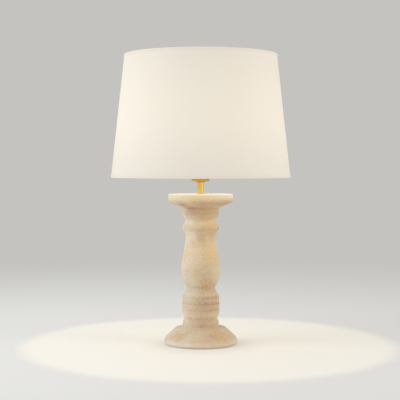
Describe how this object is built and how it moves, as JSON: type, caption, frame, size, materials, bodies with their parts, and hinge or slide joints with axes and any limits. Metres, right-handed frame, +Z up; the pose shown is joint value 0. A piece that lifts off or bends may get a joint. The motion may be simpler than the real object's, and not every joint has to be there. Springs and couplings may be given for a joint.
{
  "type": "ceramic table lamp",
  "caption": "Table lamp with a turned matt ceramic column on a round foot, a brass neck and lampholder, a screw-in bulb and a tapered cloth drum shade.",
  "frame": {"origin": "centre of the felt pad's underside, on the surface that the lamp stands on", "axes": "+Z up along the lamp's axis, front towards -Y, switch knob towards +X, cord inlet towards +Y"},
  "size_m": [0.3554, 0.3554, 0.5721],
  "materials": {
    "ceramic": "matt, unglazed, sandy beige with pores and blotches",
    "felt": "beige pressed felt",
    "steel": "zinc plated",
    "brass": "polished, lacquered",
    "grommet": "matt",
    "insulator": "moulded, matt",
    "contact": "plain spring brass",
    "knob": "moulded, satin",
    "cloth": "fine woven off-white cloth",
    "lining": "translucent white sheet",
    "wire": "white enamel",
    "bulb_metal": "plain drawn",
    "bulb_housing": "white, satin",
    "board": "white coated board",
    "opal": "opal, lit warm white"
  },
  "bodies": {
    "base": {"felt_pad": "felt", "column": "ceramic", "base_plate": "steel", "base_washer": "steel", "base_nut": "steel", "threaded_rod": "steel", "cord_grommet": "grommet", "neck_tube": "brass", "holder_cap": "brass", "cap_bush": "steel", "cap_screw": "steel", "holder_skirt": "brass", "holder_insert": "insulator", "holder_liner": "insulator", "terminal_screws": "contact", "screw_shell": "contact", "centre_contact": "contact", "shell_contact": "contact", "lower_ring": "brass"},
    "switch": {"switch_spindle": "steel", "switch_cam": "insulator", "switch_knob": "knob"},
    "clamp": {"clamp_ring": "brass"},
    "shade": {"shade_cover": "cloth", "shade_liner": "lining", "bottom_ring": "wire", "top_ring": "wire", "bottom_hem": "cloth", "top_hem": "cloth", "shade_carrier": "wire", "spider_arms": "wire"},
    "bulb_lift": {"bulb_tip": "contact"},
    "bulb": {"bulb_insulator": "insulator", "bulb_cap": "bulb_metal", "bulb_collar": "bulb_housing", "led_board": "board", "bulb_diffuser": "opal"}
  },
  "joints": [
    {"name": "shade_turn", "type": "hinge", "parent": "base", "child": "shade", "pos_m": [0, 0, 0.36185], "axis": [0, 0, 1], "continuous": true},
    {"name": "clamp_ring_turn", "type": "hinge", "parent": "base", "child": "clamp", "pos_m": [0, 0, 0.3654], "axis": [0, 0, 1], "range_deg": [0, 1080]},
    {"name": "bulb_rise", "type": "slide", "parent": "base", "child": "bulb_lift", "axis": [0, 0, 1], "range_m": [0, 0.02545]},
    {"name": "bulb_turn", "type": "hinge", "parent": "bulb_lift", "child": "bulb", "pos_m": [0, 0, 0.3547], "axis": [0, 0, 1], "range_deg": [0, 2520]},
    {"name": "switch_turn", "type": "hinge", "parent": "base", "child": "switch", "pos_m": [0.019, 0, 0.3445], "axis": [1, 0, 0], "continuous": true}
  ],
  "couplings": [
    {"joint": "bulb_rise", "follows": "bulb_turn", "m_per_rad": 0.00057757}
  ]
}
